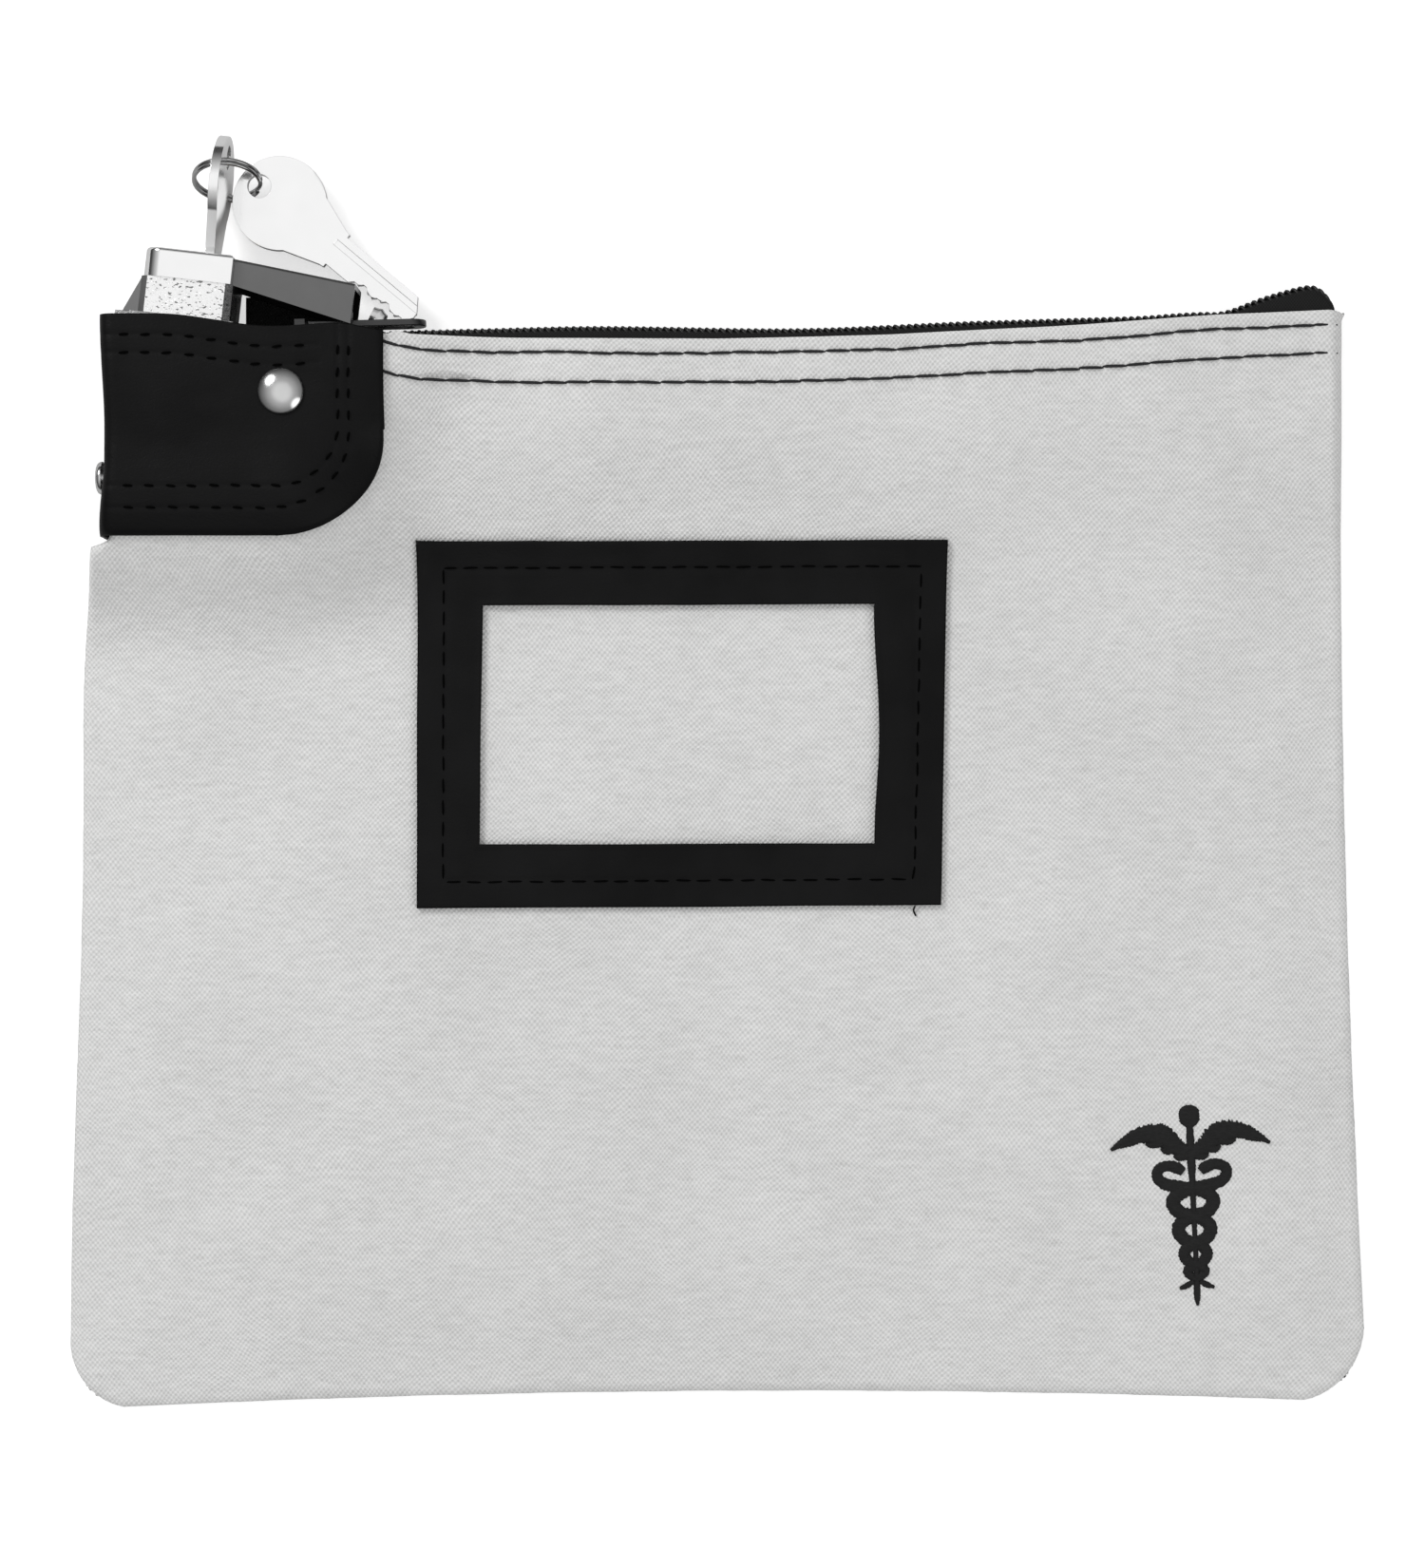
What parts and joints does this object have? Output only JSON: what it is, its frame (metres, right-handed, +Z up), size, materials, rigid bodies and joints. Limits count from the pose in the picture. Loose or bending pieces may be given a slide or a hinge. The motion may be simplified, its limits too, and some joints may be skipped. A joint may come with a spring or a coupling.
{
  "type": "cash deposit bag",
  "caption": "Zipped canvas deposit bag with a riveted pop-up lock in its corner, a hood over the zipper's slider, a label frame and two keys on a ring.",
  "frame": {"origin": "middle of the back panel's flat face, on the surface that the bag lies on", "axes": "+Z up from the surface towards the front panel, +Y towards the zipped mouth, +X towards the far end of the zipper"},
  "size_m": [0.3089, 0.3009, 0.0291],
  "materials": {
    "canvas": "natural cotton duck, plain weave",
    "vinyl": "black grained vinyl, soft sheen",
    "cast_zinc": "plated zinc casting, slightly rough",
    "polished_cap": "polished nickel plate",
    "plug_brass": "turned brass, satin",
    "pin_brass": "turned brass",
    "spring_steel": "bright spring steel",
    "key_nickel": "nickel plated brass, lightly worn",
    "ring_steel": "bright steel wire",
    "rivet_nickel": "nickel plated, domed",
    "coil_black": "black nylon coil",
    "tape_black": "black woven polyester tape",
    "slider_black": "black enamel, semi gloss"
  },
  "bodies": {
    "bag": {"canvas_back_panel": "canvas", "canvas_front_panel": "canvas", "vinyl_corner_cover": "vinyl", "label_frame": "vinyl", "lock_housing": "cast_zinc", "housing_floor": "cast_zinc", "stop_pins": "spring_steel", "front_rivet": "rivet_nickel", "side_rivet": "rivet_nickel", "zipper_coil_front": "coil_black", "zipper_coil_back": "coil_black", "zipper_tape_front": "tape_black", "zipper_tape_back": "tape_black", "lift_spring": "spring_steel"},
    "lock_head": {"barrel": "cast_zinc", "head_cap": "polished_cap", "driver_pins": "pin_brass", "pin_springs": "spring_steel", "barrel_foot_plate": "cast_zinc", "foot_screws": "spring_steel"},
    "bolt": {"locking_bolt": "spring_steel"},
    "lock_plug": {"plug": "plug_brass", "key_pins": "pin_brass", "plug_clip": "spring_steel", "key_in_lock": "key_nickel"},
    "ring": {"split_ring": "ring_steel"},
    "spare": {"spare_key": "key_nickel"},
    "slider": {"slider_body": "slider_black"},
    "tab": {"pull_tab": "slider_black"}
  },
  "joints": [
    {"name": "head_press", "type": "slide", "parent": "bag", "child": "lock_head", "axis": [-0.1132, -0.9936, 0], "range_m": [0, 0.0065], "stiffness_N_per_m": 300, "springref_m": -0.012, "deforming": ["lift_spring"]},
    {"name": "plug_turn", "type": "hinge", "parent": "lock_head", "child": "lock_plug", "pos_m": [-0.12063, 0.12655, 0.0142], "axis": [0.1132, 0.9936, 0], "range_deg": [0, 90]},
    {"name": "bolt_throw", "type": "slide", "parent": "lock_head", "child": "bolt", "axis": [0.9936, -0.1132, 0], "range_m": [0, 0.00115]},
    {"name": "ring_swing", "type": "hinge", "parent": "lock_plug", "child": "ring", "pos_m": [-0.11618, 0.16459, 0.0153], "axis": [1, 0, 0], "range_deg": [0, 60]},
    {"name": "spare_key_swing", "type": "hinge", "parent": "ring", "child": "spare", "pos_m": [-0.10895, 0.16023, 0.00551], "axis": [0.3746, 0.3773, 0.8469], "range_deg": [0, 40]},
    {"name": "slider_travel", "type": "slide", "parent": "bag", "child": "slider", "axis": [0.9988, 0.0309, -0.0375], "range_m": [0, 0.185], "deforming": ["zipper_coil_front", "zipper_coil_back"]},
    {"name": "pull_tab_swing", "type": "hinge", "parent": "slider", "child": "tab", "pos_m": [-0.09813, 0.12577, 0.01429], "axis": [0.0375, 0.0012, 0.9993], "range_deg": [0, 26]}
  ],
  "couplings": [
    {"joint": "bolt_throw", "follows": "plug_turn", "m_per_rad": 0.00070028}
  ]
}
